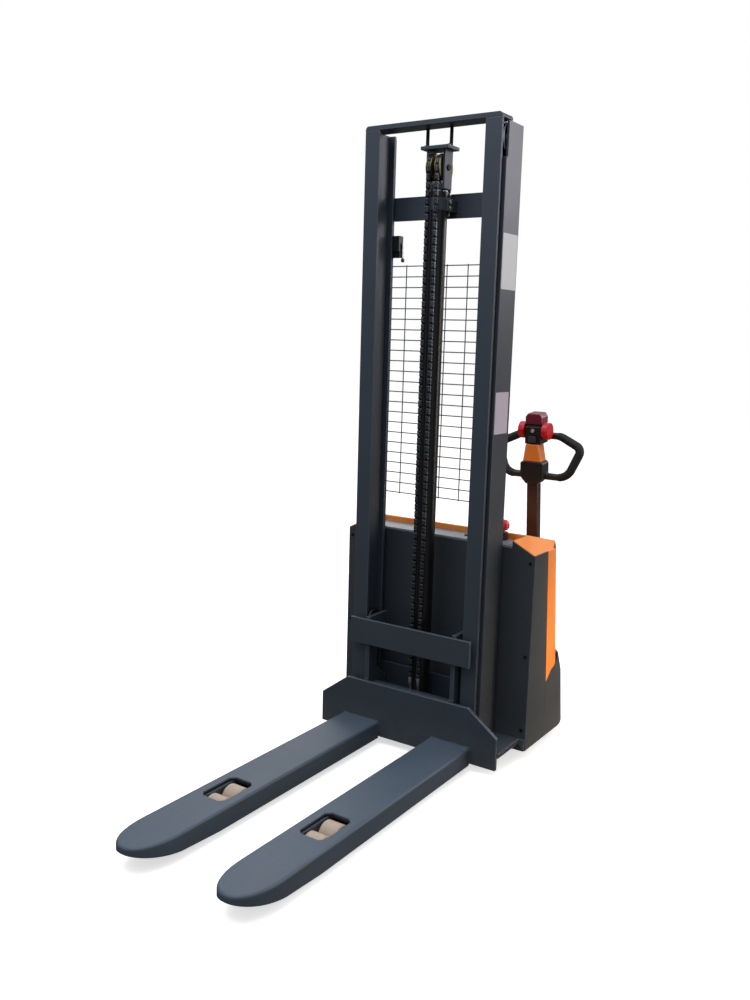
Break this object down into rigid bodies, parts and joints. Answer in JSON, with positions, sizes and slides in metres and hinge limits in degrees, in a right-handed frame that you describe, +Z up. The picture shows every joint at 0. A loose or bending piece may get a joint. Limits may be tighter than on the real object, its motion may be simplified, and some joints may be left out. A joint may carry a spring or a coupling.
{
  "type": "electric walkie stacker",
  "caption": "Pedestrian electric stacker with a two-stage lifting mast, pallet forks over support legs, an orange hooded drive body and a steering tiller.",
  "frame": {"origin": "on the floor under the middle of the bounding box, with the mast lowered", "axes": "+Z up along the mast, -Y along the forks towards their tips, +Y towards the operator, +X to the operator's left when the operator looks towards the forks"},
  "size_m": [0.786, 1.82, 2.194],
  "materials": {
    "anthracite_paint": "satin powder coat",
    "fork_paint": "satin powder coat",
    "mast_side_paint": "satin powder coat",
    "cylinder_paint": "gloss",
    "dark_cover": "fine grain",
    "orange_cover": "smooth",
    "orange_trim": "smooth",
    "black_plastic": "fine grain",
    "arm_paint": "satin",
    "bracket_paint": "satin",
    "zinc_steel": "zinc plated",
    "yellow_zinc": "yellow zinc plated",
    "roller_steel": "ground",
    "chain_steel": "oiled",
    "rod_chrome": "polished",
    "roller_urethane": "cast polyurethane",
    "drive_tyre": "solid rubber",
    "caster_tyre": "cast polyurethane",
    "battery_case": "smooth",
    "pump_paint": "satin",
    "controller_aluminium": "extruded",
    "pipe_steel": "zinc plated",
    "fitting_mix": "smooth",
    "red_plastic": "smooth",
    "dark_red_plastic": "smooth",
    "grey_plastic": "smooth",
    "beige_plastic": "smooth",
    "key_steel": "nickel plated"
  },
  "bodies": {
    "chassis": {"base_frame": "anthracite_paint", "support_leg_left": "anthracite_paint", "support_leg_right": "anthracite_paint", "load_roller_axles": "zinc_steel", "outer_upright_left": "mast_side_paint", "outer_upright_right": "mast_side_paint", "outer_crossbeam": "anthracite_paint", "lift_cylinder": "cylinder_paint", "rear_chain_anchors": "zinc_steel", "mesh_guard": "anthracite_paint", "front_cover": "dark_cover", "deck_cover": "dark_cover", "hood": "orange_cover", "rear_skirt": "dark_cover", "batteries": "battery_case", "pump_unit": "pump_paint", "motor_controller": "controller_aluminium", "hydraulic_pipe": "pipe_steel", "limit_switch": "black_plastic", "deck_fittings": "fitting_mix", "cover_screws": "zinc_steel", "chain_rear_runs": "chain_steel"},
    "outer_rollers": {"outer_mast_rollers": "roller_steel"},
    "inner_mast": {"inner_upright_left": "anthracite_paint", "inner_upright_right": "anthracite_paint", "inner_crossbeams": "anthracite_paint", "piston_rod": "rod_chrome", "crosshead": "anthracite_paint", "crosshead_pins": "zinc_steel", "chain_wraps": "chain_steel"},
    "chain_wheels": {"chain_wheels": "yellow_zinc"},
    "inner_rollers": {"inner_mast_rollers": "roller_steel"},
    "carriage": {"carriage_plate": "anthracite_paint", "carriage_bar": "anthracite_paint", "carriage_frame": "anthracite_paint", "front_chain_anchors": "zinc_steel", "fork_left": "fork_paint", "fork_right": "fork_paint", "chain_front_runs": "chain_steel"},
    "upper_rollers": {"carriage_rollers_upper": "roller_steel"},
    "lower_rollers": {"carriage_rollers_lower": "roller_steel"},
    "load_roller_left_front": {"load_roller_left_front": "roller_urethane"},
    "load_roller_left_rear": {"load_roller_left_rear": "roller_urethane"},
    "load_roller_right_front": {"load_roller_right_front": "roller_urethane"},
    "load_roller_right_rear": {"load_roller_right_rear": "roller_urethane"},
    "drive_unit": {"drive_gearbox": "bracket_paint", "drive_motor": "bracket_paint", "tiller_bracket": "bracket_paint"},
    "drive_wheel": {"drive_wheel": "drive_tyre"},
    "caster_fork": {"caster_fork": "zinc_steel"},
    "caster_wheel": {"caster_wheel": "caster_tyre"},
    "tiller": {"tiller_arm": "arm_paint", "tiller_head": "black_plastic", "head_cover": "orange_trim"},
    "thumb_wheels": {"thumb_wheels": "red_plastic"},
    "safety_button": {"safety_button": "dark_red_plastic"},
    "lift_rocker": {"lift_rocker": "grey_plastic"},
    "horn_button": {"horn_button": "beige_plastic"},
    "estop_button": {"estop_button": "red_plastic"},
    "key": {"key": "key_steel"}
  },
  "joints": [
    {"name": "mast_lift", "type": "slide", "parent": "chassis", "child": "inner_mast", "axis": [0, 0, 1], "range_m": [0, 1.5], "deforming": ["chain_rear_runs"]},
    {"name": "carriage_lift", "type": "slide", "parent": "inner_mast", "child": "carriage", "axis": [0, 0, 1], "range_m": [0, 1.5], "deforming": ["chain_front_runs"]},
    {"name": "chain_wheel_spin", "type": "hinge", "parent": "inner_mast", "child": "chain_wheels", "pos_m": [0, 0.345, 2.048], "axis": [-1, 0, 0], "range_deg": [0, 2000]},
    {"name": "outer_roller_spin", "type": "hinge", "parent": "chassis", "child": "outer_rollers", "pos_m": [0, 0.34, 2.12], "axis": [1, 0, 0], "range_deg": [0, 1810]},
    {"name": "inner_roller_spin", "type": "hinge", "parent": "inner_mast", "child": "inner_rollers", "pos_m": [0, 0.361, 0.151], "axis": [-1, 0, 0], "range_deg": [0, 1850]},
    {"name": "upper_roller_spin", "type": "hinge", "parent": "carriage", "child": "upper_rollers", "pos_m": [0, 0.34, 0.4295], "axis": [1, 0, 0], "range_deg": [0, 1810]},
    {"name": "lower_roller_spin", "type": "hinge", "parent": "carriage", "child": "lower_rollers", "pos_m": [0, 0.34, 0.16], "axis": [-1, 0, 0], "range_deg": [0, 1810]},
    {"name": "load_roller_left_front_spin", "type": "hinge", "parent": "chassis", "child": "load_roller_left_front", "pos_m": [0.19, -0.5245, 0.039], "axis": [1, 0, 0], "continuous": true},
    {"name": "load_roller_left_rear_spin", "type": "hinge", "parent": "chassis", "child": "load_roller_left_rear", "pos_m": [0.19, -0.4435, 0.039], "axis": [1, 0, 0], "continuous": true},
    {"name": "load_roller_right_front_spin", "type": "hinge", "parent": "chassis", "child": "load_roller_right_front", "pos_m": [-0.19, -0.5245, 0.039], "axis": [1, 0, 0], "continuous": true},
    {"name": "load_roller_right_rear_spin", "type": "hinge", "parent": "chassis", "child": "load_roller_right_rear", "pos_m": [-0.19, -0.4435, 0.039], "axis": [1, 0, 0], "continuous": true},
    {"name": "steering", "type": "hinge", "parent": "chassis", "child": "drive_unit", "pos_m": [0.188, 0.78, 0.24], "axis": [0, 0, 1], "range_deg": [-90, 90]},
    {"name": "drive_wheel_spin", "type": "hinge", "parent": "drive_unit", "child": "drive_wheel", "pos_m": [0.188, 0.78, 0.11], "axis": [1, 0, 0], "continuous": true},
    {"name": "tiller_tilt", "type": "hinge", "parent": "drive_unit", "child": "tiller", "pos_m": [0.188, 0.885, 0.44], "axis": [-1, 0, 0], "range_deg": [0, 85], "stiffness_Nm_per_rad": 16, "springref_deg": -34.38},
    {"name": "thumb_wheel_turn", "type": "hinge", "parent": "tiller", "child": "thumb_wheels", "pos_m": [0.188, 0.82234, 1.14828], "axis": [1, 0, 0], "range_deg": [-30, 30], "stiffness_Nm_per_rad": 1},
    {"name": "safety_button_press", "type": "slide", "parent": "tiller", "child": "safety_button", "axis": [0, 0.0993, -0.9951], "range_m": [0, 0.008], "stiffness_N_per_m": 900},
    {"name": "lift_rocker_tilt", "type": "hinge", "parent": "tiller", "child": "lift_rocker", "pos_m": [0.188, 0.80144, 1.11604], "axis": [1, 0, 0], "range_deg": [-8, 8], "stiffness_Nm_per_rad": 0.5},
    {"name": "horn_button_press", "type": "slide", "parent": "tiller", "child": "horn_button", "axis": [0, 0.9951, 0.0993], "range_m": [0, 0.003], "stiffness_N_per_m": 500},
    {"name": "estop_press", "type": "slide", "parent": "chassis", "child": "estop_button", "axis": [0, 0, -1], "range_m": [0, 0.006]},
    {"name": "key_turn", "type": "hinge", "parent": "chassis", "child": "key", "pos_m": [0.168, 0.486, 0.79], "axis": [0, 0, 1], "range_deg": [0, 90]},
    {"name": "caster_swivel", "type": "hinge", "parent": "chassis", "child": "caster_fork", "pos_m": [-0.213, 0.78, 0.22], "axis": [0, 0, 1], "continuous": true},
    {"name": "caster_wheel_spin", "type": "hinge", "parent": "caster_fork", "child": "caster_wheel", "pos_m": [-0.213, 0.818, 0.075], "axis": [1, 0, 0], "continuous": true}
  ],
  "couplings": [
    {"joint": "carriage_lift", "follows": "mast_lift", "ratio": 1},
    {"joint": "chain_wheel_spin", "follows": "mast_lift", "rad_per_m": 23.256},
    {"joint": "outer_roller_spin", "follows": "mast_lift", "rad_per_m": 21.053},
    {"joint": "inner_roller_spin", "follows": "mast_lift", "rad_per_m": 21.505},
    {"joint": "upper_roller_spin", "follows": "mast_lift", "rad_per_m": 21.053},
    {"joint": "lower_roller_spin", "follows": "mast_lift", "rad_per_m": 21.053}
  ]
}
